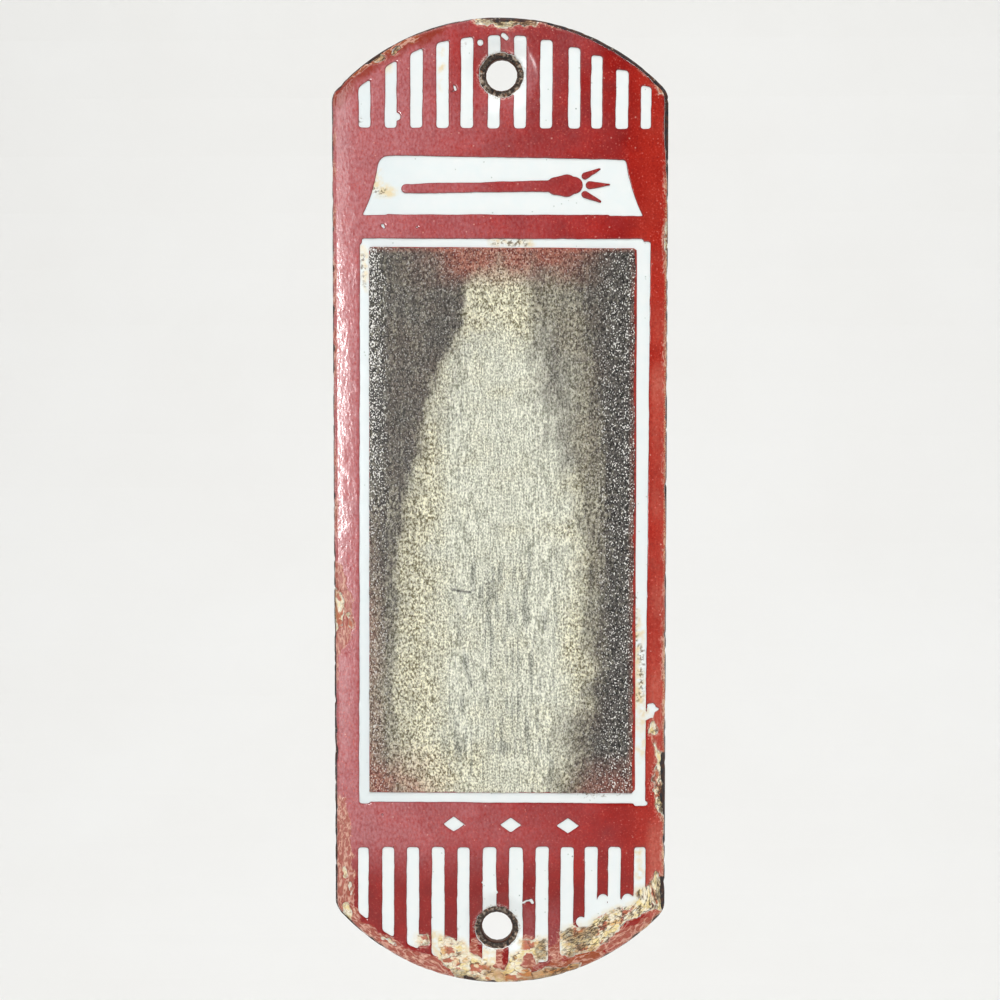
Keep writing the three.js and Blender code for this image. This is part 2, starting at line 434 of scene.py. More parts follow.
BROKEN_PATCHES = [
    [
        (8.0, -56.8), (10.1, -55.9), (11.5, -56.1), (12.6, -55.3), (14.3, -54.3), (15.7, -53.7),
        (17.2, -53.4), (18.3, -52.7), (18.0, -51.3), (18.7, -50.9), (19.9, -50.7), (20.4, -49.4),
        (20.8, -48.2), (21.3, -49.2), (22.4, -49.6), (22.4, -53.0), (21.4, -53.8), (19.5, -54.1),
        (16.6, -55.3), (15.7, -56.7), (13.8, -58.7), (12.4, -59.5), (9.9, -60.6), (9.0, -60.4),
        (8.2, -59.8),
    ],
    [
        (-8.1, -57.5), (-5.9, -58.1), (-4.9, -58.5), (-4.2, -59.8), (-3.1, -60.1), (-1.9, -60.4),
        (-1.6, -61.5), (-0.7, -62.0), (0.6, -62.1), (1.4, -60.4), (2.3, -59.4), (2.6, -58.4),
        (3.7, -58.0), (6.3, -57.8), (6.5, -59.3), (6.2, -60.9), (4.9, -61.3), (4.4, -60.3),
        (3.6, -60.1), (3.1, -61.4), (4.4, -62.3), (6.7, -61.5), (8.9, -61.3), (10.4, -60.9),
        (12.0, -60.3), (9.0, -63.0), (0.0, -65.0), (-5.6, -63.6), (-7.1, -61.7), (-8.3, -60.8),
    ],
    [(-10.9, -57.7), (-9.7, -57.6), (-9.3, -58.7), (-10.8, -59.1), (-11.2, -58.5)],
    [
        (20.4, -30.8), (20.7, -31.8), (21.3, -32.7), (22.6, -33.2), (22.6, -41.0), (21.7, -41.5),
        (21.2, -40.9), (20.4, -38.3), (20.1, -36.9), (20.3, -35.9), (20.8, -33.6), (20.5, -32.4),
        (20.3, -31.6),
    ],
    [
        (20.4, -28.1), (20.9, -29.1), (20.9, -30.2), (20.5, -30.5), (20.1, -29.8), (19.9, -30.0),
        (20.1, -29.1),
    ],
    [(-22.6, -10.3), (-20.9, -11.6), (-20.6, -13.9), (-20.9, -15.8), (-22.6, -17.0)],
]
BROKEN_STROKES = [
    [(-20.1, -14.6, 0.2), (-19.7, -16.0, 0.25)],
    [(-20.7, -47.8, 0.3), (-20.5, -49.6, 0.4)],
    [(-20.0, -50.7, 0.25), (-19.9, -52.0, 0.3)],
    [(-20.4, -53.4, 0.35), (-20.2, -55.4, 0.3)],
    [(-16.4, -57.6, 0.12), (-15.2, -58.1, 0.2), (-14.0, -58.8, 0.14)],
    [(-16.1, 58.2, 0.2), (-15.4, 58.6, 0.28)],
    [(-13.9, 59.1, 0.18), (-13.2, 59.7, 0.2)],
    [(20.6, 54.9, 0.25), (21.0, 54.1, 0.22)],
    [(-2.6, 63.3, 0.5), (0.6, 62.9, 0.7), (4.4, 63.1, 0.6)],
    [(22.0, 36.9, 0.35), (22.1, 34.8, 0.6), (22.0, 32.7, 0.4)],
]
CLEAN_PATCHES = [
    [
        (11.2, -55.4), (12.2, -54.0), (13.2, -52.8), (16.6, -53.0), (18.3, -52.6), (18.6, -53.2),
        (17.0, -54.4), (14.0, -55.6), (11.8, -57.2), (10.6, -56.6),
    ],
    [
        (18.7, -28.0), (19.4, -27.3), (19.6, -26.3), (20.3, -26.0), (21.0, -26.8), (20.5, -27.3),
        (20.4, -28.0), (19.3, -28.3),
    ],
]
CLEAN_STROKES = [
    [(13.8, -52.35, 0.68), (13.5, -53.2, 0.7)],
    [(17.1, -52.5, 0.86), (16.6, -53.2, 0.7)],
    [(10.9, -55.5, 0.68), (11.4, -56.0, 0.6)],
]
PITS = [
    [(-2.5, 60.4, 0.42)],
    [(0.5, 61.3, 0.3), (0.9, 61.0, 0.3)],
    [(3.2, -53.0, 0.16), (3.6, -52.7, 0.14), (4.2, -52.6, 0.16), (4.4, -53.0, 0.18)],
    [(-0.4, -51.6, 0.18)],
    [(-15.3, 36.8, 0.2), (-15.1, 36.5, 0.12)],
    [(-10.8, 36.6, 0.1)],
    [(-5.9, 54.9, 0.1), (-5.7, 54.3, 0.12), (-6.2, 54.1, 0.08)],
    [(-13.4, 50.9, 0.5)],
    [(-2.3, -50.3, 0.12)],
    [(-15.6, -41.2, 0.1)],
    [(9.2, -46.9, 0.1)],
    [(15.9, -47.8, 0.1)],
    [(3.0, 56.9, 0.35), (3.1, 56.1, 0.3)],
]
IRON_SHOWS = [
    [(22.1, -32.6, 0.5), (22.2, -36.0, 0.75), (22.1, -40.4, 0.6)],
    [(22.3, -49.2, 0.7), (22.2, -51.0, 0.9), (22.1, -53.0, 0.6)],
    [(-0.6, 63.6, 0.5), (3.2, 63.5, 0.5)],
    [(-9.4, -61.9, 0.08), (-6.8, -62.6, 0.12)],
    [(-4.4, -63.2, 0.14), (-3.6, -63.4, 0.12)],
    [(-1.6, -63.8, 0.1), (1.6, -63.9, 0.08)],
]


def blotches(x, z, groups, uneven, size, seed):
    """Depth inside strokes that the camera sees, with an edge that is uneven by so much."""
    return strokes(*flattened(x, z), groups) + uneven * rough(x, z, size, seed)


def rim_wear(x, z, seed):
    """How far the enamel has crumbled in from the rim."""
    nibbles = np.maximum(noise(x, z, 1.3, seed + 5) - 0.4, 0)
    top_right = between(x, 3, 9) * between(z, 40, 50)
    low_left = between(x, -12, -20) * between(z, 0, -30)
    top_left = between(x, -3, -6) * between(z, 54, 57)
    worn = 0.4 * top_right + 0.2 * low_left + 0.12 * top_left
    return 0.07 * rough(x, z, 1.4, seed) + 0.45 * nibbles + worn


def spall(x, z):
    """Depth inside the areas where the enamel has broken away."""
    x, z = flattened(x, z)
    areas = np.maximum(patches(x, z, BROKEN_PATCHES), strokes(x, z, BROKEN_STROKES))
    ragged = 0.22 * rough(x, z, 2.2, 33) + 0.28 * rough(x, z, 0.8, 31)
    return areas + ragged * between(areas, -1.0, 0.1)


def scaled_off(x, z):
    """Depth inside the areas that have lost the red coat, with the white sound beneath."""
    x, z = flattened(x, z)
    areas = np.maximum(patches(x, z, CLEAN_PATCHES), strokes(x, z, CLEAN_STROKES))
    torn = 0.16 * rough(x, z, 0.45, 39) * between(x, 18.4, 18.9)
    return areas + 0.06 * rough(x, z, 0.9, 37) + torn


def red_line(x, z):
    """Depth inside what is left of the red coat."""
    hole = from_hole(x, z) - 2.9 - 0.09 * rough(x, z, 0.6, 41)
    rim = rim_depth(x, z) - 0.14 - rim_wear(x, z, 51)
    pits = strokes(*flattened(x, z), PITS) + 0.06 * noise(x, z, 0.4, 61)
    panel = -inside_frame(*on_stencil(x, z)) - 0.2
    return least(rim, hole, panel, -windows(x, z), -spall(x, z), -scaled_off(x, z), -pits)


def white_line(x, z):
    """Depth inside what is left of the white coat."""
    hole = from_hole(x, z) - 2.86 - 0.09 * rough(x, z, 0.6, 41)
    rim = rim_depth(x, z) - 0.11 - rim_wear(x, z, 51)
    return least(rim, hole, -blotches(x, z, IRON_SHOWS, 0.3, 0.9, 81))


def panel_line(x, z):
    return inside_frame(*on_stencil(x, z)) - 0.03 * noise(x, z, 3.0, 91)


def grit_line(x, z):
    """Depth inside the striking surface, whose edge is as uneven as its grains."""
    ragged = 0.07 * noise(x, z, 0.35, 95) + 0.05 * noise(x, z, 1.5, 96)
    right = 0.32 + 0.12 * rough(x, z, 2.0, 97)
    x, z = on_stencil(x, z)
    return ragged + inside_frame(x, z, left=0.02, right=right, foot=0.06, head=0.06)


def iron_line(x, z):
    return least(rim_depth(x, z) - IRON_INSET, from_hole(x, z) - IRON_HOLE)


def ground_line(x, z):
    hole = from_hole(x, z) - GROUND_HOLE - 0.06 * rough(x, z, 0.7, 21)
    nibbles = 0.35 * np.maximum(noise(x, z, 1.0, 23) - 0.45, 0)
    return least(rim_depth(x, z) - 0.02 - nibbles, hole)


def ground_pits(x, z):
    """How far the ground coat is eaten away, in places through to the iron."""
    shows = blotches(x, z, IRON_SHOWS, 0.25, 0.7, 25)
    rim = (1 - between(rim_depth(x, z), 0.0, 0.9)) * np.maximum(rough(x, z, 0.9, 27) - 0.15, 0)
    ring = (1 - between(from_hole(x, z), 2.7, 3.0)) * np.maximum(rough(x, z, 0.6, 29), 0)
    return 0.26 * between(shows, 0.0, 0.35) + 0.3 * rim + 0.07 * ring


def broken_relief(x, z):
    """How far the broken white enamel lies below its face."""
    depth = spall(x, z)
    level, edge = flakes(x, z, 0.9, 201)
    fine_level = flakes(x, z, 0.45, 203)[0]
    terraces = 0.02 + 0.07 * level + 0.05 * fine_level + 0.03 * (1 - between(edge, 0.0, 0.15))
    return terraces * between(depth, 0.0, 0.18) + 0.004 * noise(x, z, 1.4, 205)


# Discolouring

STAINS = [
    [(-7.6, 59.4, 0.05), (-7.5, 56.5, 0.1), (-7.8, 54.3, 0.1)],
    [(-17.6, 33.5, 0.5), (-17.6, 31.0, 0.4), (-17.6, 28.3, 0.3)],
    [(-16.2, 43.0, 0.9), (-15.8, 41.6, 1.0), (-14.4, 41.2, 0.8)],
    [(-1.0, 34.6, 0.6), (1.4, 34.5, 0.6), (4.2, 34.6, 0.5)],
    [(-15.3, 58.0, 0.6), (-14.3, 57.2, 0.5)],
    [(18.3, -14.0, 0.5), (18.2, -21.0, 0.6), (18.5, -26.3, 0.7)],
    [(19.0, -27.0, 0.7), (18.8, -33.0, 0.4)],
    [(18.6, -45.4, 0.5), (18.6, -49.0, 0.4)],
    [(13.0, -56.6, 0.6), (15.0, -54.6, 0.6), (17.8, -53.4, 0.5)],
    [(-9.0, -58.2, 1.3), (-6.0, -60.0, 1.4), (-2.0, -61.0, 1.2), (3.0, -61.0, 1.0)],
]
GRIME = [
    [(-16.5, 42.2, 0.3), (-16.3, 41.5, 0.4), (-15.4, 41.2, 0.4), (-14.8, 40.6, 0.3)],
    [(-0.5, 34.8, 0.5), (1.6, 34.5, 0.5), (3.2, 34.6, 0.4)],
    [(17.9, -11.6, 0.2), (17.9, -14.6, 0.35), (17.9, -17.6, 0.35)],
    [(18.6, -18.6, 0.3), (18.7, -20.6, 0.35), (18.8, -24.6, 0.35), (18.4, -25.4, 0.5)],
    [(-17.9, 32.6, 0.3), (-17.8, 29.0, 0.25)],
    [(-18.2, 50.4, 0.25)],
    [(-4.6, 60.0, 0.25)],
    [(-5.7, -56.7, 0.2)],
    [(1.6, -60.7, 0.25)],
    [(10.5, -38.3, 0.1), (14.5, -38.4, 0.14), (16.0, -38.3, 0.08)],
]
CHARRED = [
    [(5.8, -58.3, 0.6), (5.5, -60.7, 0.7)],
    [(9.1, -56.7, 0.5), (9.2, -57.8, 0.6)],
    [(21.4, -50.4, 1.1), (21.8, -52.6, 0.8)],
    [(12.0, -57.0, 0.9), (10.4, -58.6, 1.0), (9.8, -60.0, 0.7)],
    [(-6.4, -62.4, 0.5), (-2.6, -63.5, 0.4)],
    [(-1.6, 63.3, 0.8), (2.4, 63.2, 0.8), (4.0, 63.0, 0.7)],
    [(22.2, -32.6, 0.7), (22.2, -40.4, 0.8)],
]
PEELING = [
    [(-21.6, -8.6, 0.7), (-20.8, -12.0, 1.2), (-20.9, -17.4, 1.0), (-21.4, -19.4, 0.4)],
    [
        (-21.2, -39.6, 0.5), (-20.8, -44.0, 1.0), (-20.7, -54.4, 1.2), (-17.6, -57.6, 0.8),
        (-11.6, -60.6, 1.0), (-7.8, -61.6, 0.9),
    ],
    [(21.6, -54.4, 0.5), (18.4, -56.2, 0.6), (13.8, -59.0, 0.5), (9.0, -61.6, 0.5)],
    [(3.4, -58.6, 1.0), (3.0, -61.6, 1.0)],
    [(7.6, -59.4, 0.8), (7.4, -61.4, 0.5)],
    [(-0.2, -59.6, 0.8), (-0.2, -61.4, 0.6)],
    [(-3.4, -58.8, 0.6), (-3.2, -59.8, 0.4)],
    [(-20.9, 55.6, 0.4), (-16.9, 58.6, 0.5), (-11.3, 61.2, 0.4)],
]
AMBER = [
    [(3.6, -62.9, 0.7), (7.0, -62.3, 0.9), (10.4, -61.2, 0.9), (12.6, -59.9, 0.7)],
    [(11.6, -56.6, 0.5), (10.0, -58.4, 0.4)],
    [(-1.4, -62.4, 0.5), (0.6, -63.0, 0.6)],
    [(-21.2, 53.6, 1.2), (-19.2, 56.6, 1.2), (-15.6, 59.0, 1.0), (-12.0, 60.6, 0.9), (-8.0, 61.9, 0.5)],
    [(17.6, 58.2, 0.3), (20.6, 55.4, 0.4)],
]
PALE_LEFT = {
    36: -4.0, 32: -4.6, 24: -4.3, 19: -7.5, 14: -9.5, 9: -10.2, 4: -11.7, -1: -12.8, -11: -13.8,
    -21: -14.2, -31: -14.0, -38: -13.4,
}
BRIGHT_RIGHT = {34: 2.6, 24: 3.9, 14: 4.8, 4: 9.0, -6: 11.0, -26: 11.0, -31: 8.0, -38: 7.0}
PALE_RIGHT = {32: 10.3, 24: 11.6, 14: 13.0, 0: 13.3, -12: 13.2, -26: 12.4, -35: 10.8}
SCRATCHES = [
    [(-6.0, -10.85, 0.13), (-5.2, -11.1, 0.16), (-3.7, -11.2, 0.14)],
    [(-1.8, -10.2, 0.06), (-0.6, -9.6, 0.05)],
    [(-1.6, -12.6, 0.06), (-0.8, -11.6, 0.05)],
    [(-12.4, 13.0, 0.08), (-12.5, 11.8, 0.07)],
]


def along(z, edge):
    """The x of an edge given as a table from z to x."""
    heights = sorted(edge)
    return np.interp(z, heights, [edge[height] for height in heights])


def rim(x, z):
    """Share of the burnt edge of the ground coat."""
    return 1 - between(rim_depth(x, z), 0.3, 1.2)


def ring(x, z):
    """Share of the worn ring round a screw hole."""
    return 1 - between(from_hole(x, z), 2.8, 3.6)


def bore(x, z):
    return 0.85 * (1 - between(from_hole(x, z), 2.3, 2.65))


def dulled(x, z):
    return between(from_hole(x, z), 7.6, 5.6)


def broken(x, z):
    return between(spall(x, z), -0.04, 0.1)


def reddish(x, z):
    """Share of the white coat that lies under the red."""
    return between(-windows(x, z), 0.0, 0.2)


def shade(x, z):
    return between(x, -7, -18) * between(z, -46, -40)


def stains(x, z):
    near_breaks = between(spall(x, z), -0.9, -0.1)
    return unit(between(blotches(x, z, STAINS, 0.5, 1.0, 401), -0.5, 0.6) + 0.5 * near_breaks)


def grime(x, z):
    return between(blotches(x, z, GRIME, 0.3, 0.6, 403), -0.2, 0.3)


def charred(x, z):
    """Share of the broken enamel that is dark with rust."""
    near_rim = 0.6 * (1 - between(rim_depth(x, z), 0.3, 0.9))
    return unit(between(blotches(x, z, CHARRED, 0.4, 1.0, 423), -0.5, 0.5) + near_rim)


def peeling(x, z):
    """Share of the red coat that has lifted in pale flakes."""
    areas = between(blotches(x, z, PEELING, 0.4, 1.2, 425), -0.5, 0.5)
    edge = (1 - between(rim_depth(x, z), 0.45, 1.0)) * (0.35 + 0.35 * noise(x, z, 2.2, 427))
    breaks = 0.5 * between(spall(x, z), -0.7, 0.0)
    return unit(areas + np.maximum(edge, 0) + breaks)


def amber(x, z):
    """Share of the golden brown that rust has left in the enamel along the rim."""
    return between(blotches(x, z, AMBER, 0.4, 0.9, 441), -0.9, 0.6)


def orange(x, z):
    return between(x, 15, 20)


def haze_and_sheen(x, z):
    """Share of the pink bloom on the red coat, partly a dull bloom and partly painted sheen of the
    light on the left, which thins out towards the right.
    """
    beside_hole = between(from_hole(x, z), 5.5, 3.5) * between(x, 1, 3)
    under_hole = between(z, 50, 56) * between(x, -9.5, -5.0) * between(x, 1.0, -2.0)
    # Painted sheen: the red is painted pinker towards the left, where the light on the left would
    # reflect in it.
    bloom_and_sheen = 0.95 * unit((17.0 - x) / 36) + 0.1 * between(x, -9, -13)
    bloom_and_sheen = bloom_and_sheen + 0.12 * between(x, -4, -9) * between(z, 38, 46)
    bloom_and_sheen = bloom_and_sheen * (1 - 0.4 * under_hole) + 0.1 * rough(x, z, 5.0, 405)
    # Painted highlight: a glow of the light in the dish to the right of each screw hole, stronger at
    # the top end.
    bloom_and_sheen = bloom_and_sheen + beside_hole * (0.22 + 0.25 * between(z, 40, 50))
    bloom_and_sheen = bloom_and_sheen * (1 - 0.95 * between(z, -43, -51))
    bloom_and_sheen = bloom_and_sheen + 0.25 * between(z, -51, -54.5) * between(x, 2, 4) * between(x, 11, 8)
    edge = 0.45 * between(x, 19.0, 20.6) * between(z, 30, 15) * (1 + noise(x, z, 4.0, 407))
    return unit(bloom_and_sheen + edge)


def scuffs(x, z):
    """Share of the red coat's fine pale scuffing."""
    low = between(z, -8, -34) * between(x, -17, -20.5)
    right = between(x, 19.5, 21.4) * (0.6 + 0.5 * noise(x, z, 4.0, 409))
    breaks = between(spall(x, z), -1.5, 0.0)
    return unit(0.4 + 0.4 * (low + right) + 0.6 * breaks - 0.25 * between(z, -43, -50))


def deepened_and_rim_shade(x, z):
    """Share of the darker red at the foot and on the right of the head, and of painted shade along the
    rim of the top end.
    """
    foot = between(z, -44, -52) * (0.7 + 0.3 * between(np.abs(x), 13, 3))
    head = 0.6 * between(z, 38, 52) * between(x, -7, 8) * between(x, 19.5, 15.5)
    # Painted shade: a dark line along the rolled rim of the top end.
    edge = 0.9 * (1 - between(rim_depth(x, z), 0.3, 1.1)) * between(z, 44, 52)
    return unit(foot + head + edge + 0.3 * rough(x, z, 1.6, 445))


def crumbs_and_glints(x, z):
    """Share of crumbs that the glaze has left along the rim and round the screw holes; on the red coat
    its pale flecks are partly painted glints.
    """
    side = between(x, 12, 19) * (0.55 + 0.6 * noise(x, z, 5.0, 435))
    arcs = 0.35 + 0.5 * noise(x, z, 3.0, 437)
    edge = (1 - between(rim_depth(x, z), 0.15, 0.55)) * np.maximum(side, arcs)
    hole = (1 - between(from_hole(x, z), 2.95, 3.35)) * (0.6 + 0.5 * noise(x, z, 1.5, 443))
    return unit(edge + hole)


def rubbed(x, z):
    """Share of the striking surface's wear by matches, which leaves it pale."""
    wander = 0.5 * rough(x, z, 3.0, 411) + 0.35 * noise(x, z, 0.6, 413, stretch=4)
    left = x - along(z, PALE_LEFT) + wander
    bright = along(z, BRIGHT_RIGHT) - x + 2.0 * wander
    pale = along(z, PALE_RIGHT) - x + wander
    level = 0.72 * between(left, -1.2, 1.2) + 0.28 * between(left, 0.0, 7.0)
    level = level * (0.64 * between(bright, -2.8, 2.8) + 0.36 * between(pale, -2.4, 2.0))
    low_left = (0.06 + 0.3 * between(z, 12, -34)) * between(x, -6, -12)
    streaks = 0.09 * noise(x, z, 0.8, 429, stretch=8)
    level = level * (1 - 0.6 * between(z, 28.5, 33.0))
    level = level * (1 - 0.3 * between(z, 14, 22) * between(x, 4, 8))
    return unit(np.maximum(level, low_left) + streaks)


def warmth(x, z):
    """Share of cream in the pale grit, which is cooler in the middle."""
    sides = between(np.abs(x - 0.8), 5.0, 12.0)
    ends = between(z, 17, 27) + 0.5 * between(z, -26, -37)
    return unit(sides + ends + 0.35 * rough(x, z, 3.0, 431))


def harshness(x, z):
    """Share of black in the unworn grit, where the painted glints are also stronger."""
    left = between(x, -13.8, -15.8) * (0.45 + 0.55 * between(z, -8, 6))
    return unit(between(x, 12.0, 15.2) + left)


def painted_glints(x, z):
    """Share of painted glints, bright dots for light glinting on the unworn grit, most of them in a
    strip on its left.
    """
    left = between(x, -14.6, -16.4) * (0.14 + 0.42 * between(z, -4, 12))
    return unit(left + 0.14 * between(x, 15.6, 17.0) + 0.1 * noise(x, z, 2.0, 439))


def soot(x, z):
    """Share of the dark streaks that matches leave."""
    inside = between(x, -9, -5) * between(x, 10.0, 6.0) * between(z, -2, -9) * between(z, -38, -33)
    return between(noise(x, z, 0.36, 415, stretch=8), 0.15, 0.7) * (0.12 + 0.6 * inside)


def scratched(x, z):
    return between(strokes(x, z, SCRATCHES), -0.06, 0.05)


def reddened(x, z):
    """Share of the red that shows through the grit."""
    top = 1.08 * between(z, 27.6, 33.0) * between(np.abs(x - 1.0), 15.0, 4.0)
    middle = 0.35 * between(z, 30.5, 33.5) * between(np.abs(x - 0.5), 5.5, 1.5)
    low = between(z, -30, -37.5) * between(x, -4, -14) + between(z, -32, -37) * between(x, 8, 14)
    sides = 0.45 * between(x, 16.8, 17.5) + 0.4 * between(x, -14.4, -17.0) * between(z, 5, -20)
    level = top + middle + 0.5 * between(z, 33.0, 33.6) + 0.7 * low + sides
    return unit(level * (0.8 + 0.4 * rough(x, z, 2.2, 417)))


def grains(x, z):
    """Height of the grit's grains as a share of the highest."""
    single = np.random.default_rng(419).uniform(0, 1, x.shape)
    clumps = 0.5 + 0.5 * noise(x, z, 0.3, 421, stretch=1.3)
    return unit(0.5 * single + 0.5 * clumps)


def fused(depth, edge=0.16):
    """Share of its thickness that a coat has reached at a depth inside its own edge."""
    return 0.4 + 0.6 * np.sqrt(1 - (1 - unit(depth / edge)) ** 2)


# Meshes

def coordinates(mesh):
    """The places of a mesh's points in millimetres, one column for each axis."""
    flat = np.empty(len(mesh.vertices) * 3)
    mesh.vertices.foreach_get("co", flat)
    return flat.reshape(-1, 3) / MM


def record(mesh, name, values):
    """Writes a number for each point of the mesh."""
    attribute = mesh.attributes.get(name) or mesh.attributes.new(name, "FLOAT", "POINT")
    attribute.data.foreach_set("value", np.asarray(values, dtype=np.float32))


def record_fields(piece, x, z, *fields):
    """Writes each field's values under the field's own name, for the piece's finish to read."""
    for field in fields:
        record(piece.data, field.__name__, field(x, z))


def recorded(mesh, name):
    values = np.empty(len(mesh.vertices), dtype=np.float32)
    mesh.attributes[name].data.foreach_get("value", values)
    return values


def trim(mesh, line):
    """Cuts a flat mesh along a line and takes away what lies outside it.

    The crossings and the faces that they touch are kept in order, so that each run is the same.
    """
    points = coordinates(mesh)
    depth = line(points[:, 0], points[:, 2])
    nearest = np.where(depth < 0, -SHORTEST_CUT, SHORTEST_CUT)
    record(mesh, "depth", np.where(np.abs(depth) < SHORTEST_CUT, nearest, depth))
    shape = bmesh.new()
    shape.from_mesh(mesh)
    layer = shape.verts.layers.float["depth"]
    crossings = {}
    for edge in [e for e in shape.edges if e.verts[0][layer] * e.verts[1][layer] < 0]:
        start, end = edge.verts
        share = start[layer] / (start[layer] - end[layer])
        point = bmesh.utils.edge_split(edge, start, share)[1]
        point[layer] = 0
        crossings[point] = True
    for crossed in dict.fromkeys(f for point in crossings for f in point.link_faces):
        part_faces(crossed, crossings, layer)
    outside = [f for f in shape.faces if min(v[layer] for v in f.verts) < 0]
    bmesh.ops.delete(shape, geom=outside, context="FACES")
    shape.to_mesh(mesh)
    shape.free()


def part_faces(crossed, crossings, layer):
    """Parts a face that the line crosses, so that each corner outside the line comes away."""
    corners = list(crossed.verts)
    places = [i for i, corner in enumerate(corners) if corner in crossings]
    pieces = [crossed]
    for first, second in zip(places, places[1:] + places[:1]):
        if corners[(first + 1) % len(corners)][layer] >= 0:
            continue
        ends = corners[first], corners[second]
        whole = next(f for f in pieces if ends[0] in f.verts and ends[1] in f.verts)
        pieces.append(bmesh.utils.face_split(whole, *ends)[0])


def sheet(name, spacing, line):
    """A flat grid over the plate, cut along a line."""
    width, height = 2 * HALF_WIDTH, 2 * HALF_HEIGHT
    bpy.ops.mesh.primitive_grid_add(
        x_subdivisions=round(width / spacing),
        y_subdivisions=round(height / spacing),
        size=1,
        rotation=(math.pi / 2, 0, 0),
    )
    piece = bpy.context.object
    piece.scale = width * MM, height * MM, 1
    bpy.ops.object.transform_apply()
    piece.name = piece.data.name = name
    piece.select_set(False)
    trim(piece.data, line)
    return piece


def edit(piece, select="SELECT"):
    """Opens a piece in edit mode with all or none of it selected."""
    bpy.context.view_layer.objects.active = piece
    piece.select_set(True)
    bpy.ops.object.mode_set(mode="EDIT")
    bpy.ops.mesh.select_mode(type="FACE")
    bpy.ops.mesh.select_all(action=select)


def close_edit(piece):
    bpy.ops.object.mode_set(mode="OBJECT")
    piece.select_set(False)


def settle(piece):
    """Puts a mesh's faces in order, since an extrusion leaves them in another order on each run."""
    loose = piece.data
    faces = []
    for polygon in loose.polygons:
        corners = list(polygon.vertices)
        first = corners.index(min(corners))
        faces.append(corners[first:] + corners[:first])
    mesh = bpy.data.meshes.new(loose.name)
    mesh.from_pydata([vertex.co for vertex in loose.vertices], [], sorted(faces))
    record(mesh, "depth", recorded(loose, "depth"))
    piece.data = mesh
    bpy.data.meshes.remove(loose)
    mesh.name = piece.name


def thicken(piece, foot, head):
    """Draws a sheet out into a solid between two heights and crowns it."""
    edit(piece)
    bpy.ops.mesh.extrude_region_move(TRANSFORM_OT_translate={"value": (0, -MM, 0)})
    bpy.ops.mesh.select_all(action="SELECT")
    bpy.ops.mesh.normals_make_consistent(inside=False)
    close_edit(piece)
    settle(piece)
    mesh = piece.data
    x, y, z = coordinates(mesh).T
    is_head = y < -0.5
    height = np.where(is_head, head(x, z, recorded(mesh, "depth")), foot(x, z))
    record(mesh, "head", is_head)
    places = np.stack([x * MM, off_wall(x, height), z * MM], axis=1)
    mesh.vertices.foreach_set("co", places.ravel())
    mesh.update()
    piece.select_set(True)
    bpy.ops.object.shade_smooth_by_angle(angle=SMOOTH_ANGLE)
    piece.select_set(False)
    return x, z


def simplify_foot(piece):
    """Joins the small faces of a layer's foot, which lies on the layer beneath."""
    mesh = piece.data
    is_head = recorded(mesh, "head").tolist()
    edit(piece, "DESELECT")
    bpy.ops.object.mode_set(mode="OBJECT")
    at_foot = [max(is_head[i] for i in polygon.vertices) < 0.5 for polygon in mesh.polygons]
    mesh.polygons.foreach_set("select", at_foot)
    bpy.ops.object.mode_set(mode="EDIT")
    bpy.ops.mesh.dissolve_limited(angle_limit=FOOT_FLATNESS)
    close_edit(piece)


def grown(piece, gap):
    """A copy of a solid, grown on all sides."""
    larger = piece.copy()
    larger.data = piece.data.copy()
    bpy.context.collection.objects.link(larger)
    edit(larger)
    bpy.ops.transform.shrink_fatten(value=gap * MM)
    close_edit(larger)
    return larger


def subtract(piece, cutter):
    """Cuts one solid out of another and takes the cutter away."""
    bpy.context.view_layer.objects.active = piece
    cavity = piece.modifiers.new("cavity", "BOOLEAN")
    cavity.operation = "DIFFERENCE"
    cavity.solver = "MANIFOLD"
    cavity.object = cutter
    bpy.ops.object.modifier_apply(modifier=cavity.name)
    bpy.data.objects.remove(cutter)


# Layers

def over_ground(x, z):
    return face(x, z) + CLEAR


def over_white(x, z):
    return face(x, z) + WHITE + CLEAR


def over_red(x, z):
    return face(x, z) + WHITE + RED + CLEAR


def iron_head(x, z, depth):
    return iron_face(x, z)


def ground_head(x, z, depth):
    return face(x, z) - ground_pits(x, z)


def white_head(x, z, depth):
    return face(x, z) + WHITE * fused(depth) - broken_relief(x, z)


def panel_head(x, z, depth):
    return face(x, z) + WHITE + RED * fused(depth)


def red_head(x, z, depth):
    return panel_head(x, z, depth) + 0.005 * noise(x, z, 1.4, 301)


def grit_head(x, z, depth):
    """Height of the grit. The grains that matches have rubbed are lower."""
    share = 0.25 + (0.7 - 0.35 * rubbed(x, z)) * grains(x, z)
    return over_red(x, z) + (GRIT - 2 * CLEAR) * share * between(depth, -0.15, 0.3)


def layer(name, spacing, line, foot, head, *fields):
    """A solid that ends at a line, with its fields' values at its points for its finish to read."""
    piece = sheet(name, spacing, line)
    x, z = thicken(piece, foot, head)
    record_fields(piece, x, z, *fields)
    return piece


def iron_blank():
    return layer("iron_blank", IRON_SPACING, iron_line, iron_back, iron_head)


def ground_enamel(iron):
    """The dark skin over face, back and rim, hollow where the iron lies."""
    piece = layer("ground_enamel", GROUND_SPACING, ground_line, back, ground_head)
    subtract(piece, grown(iron, CLEAR))
    x, _, z = coordinates(piece.data).T
    record_fields(piece, x, z, rim, ring, bore)
    return piece


def white_enamel():
    fields = broken, charred, amber, reddish, stains, shade, grime, dulled, crumbs_and_glints, around, rim_depth
    piece = layer("white_enamel", WHITE_SPACING, white_line, over_ground, white_head, *fields)
    simplify_foot(piece)
    return piece


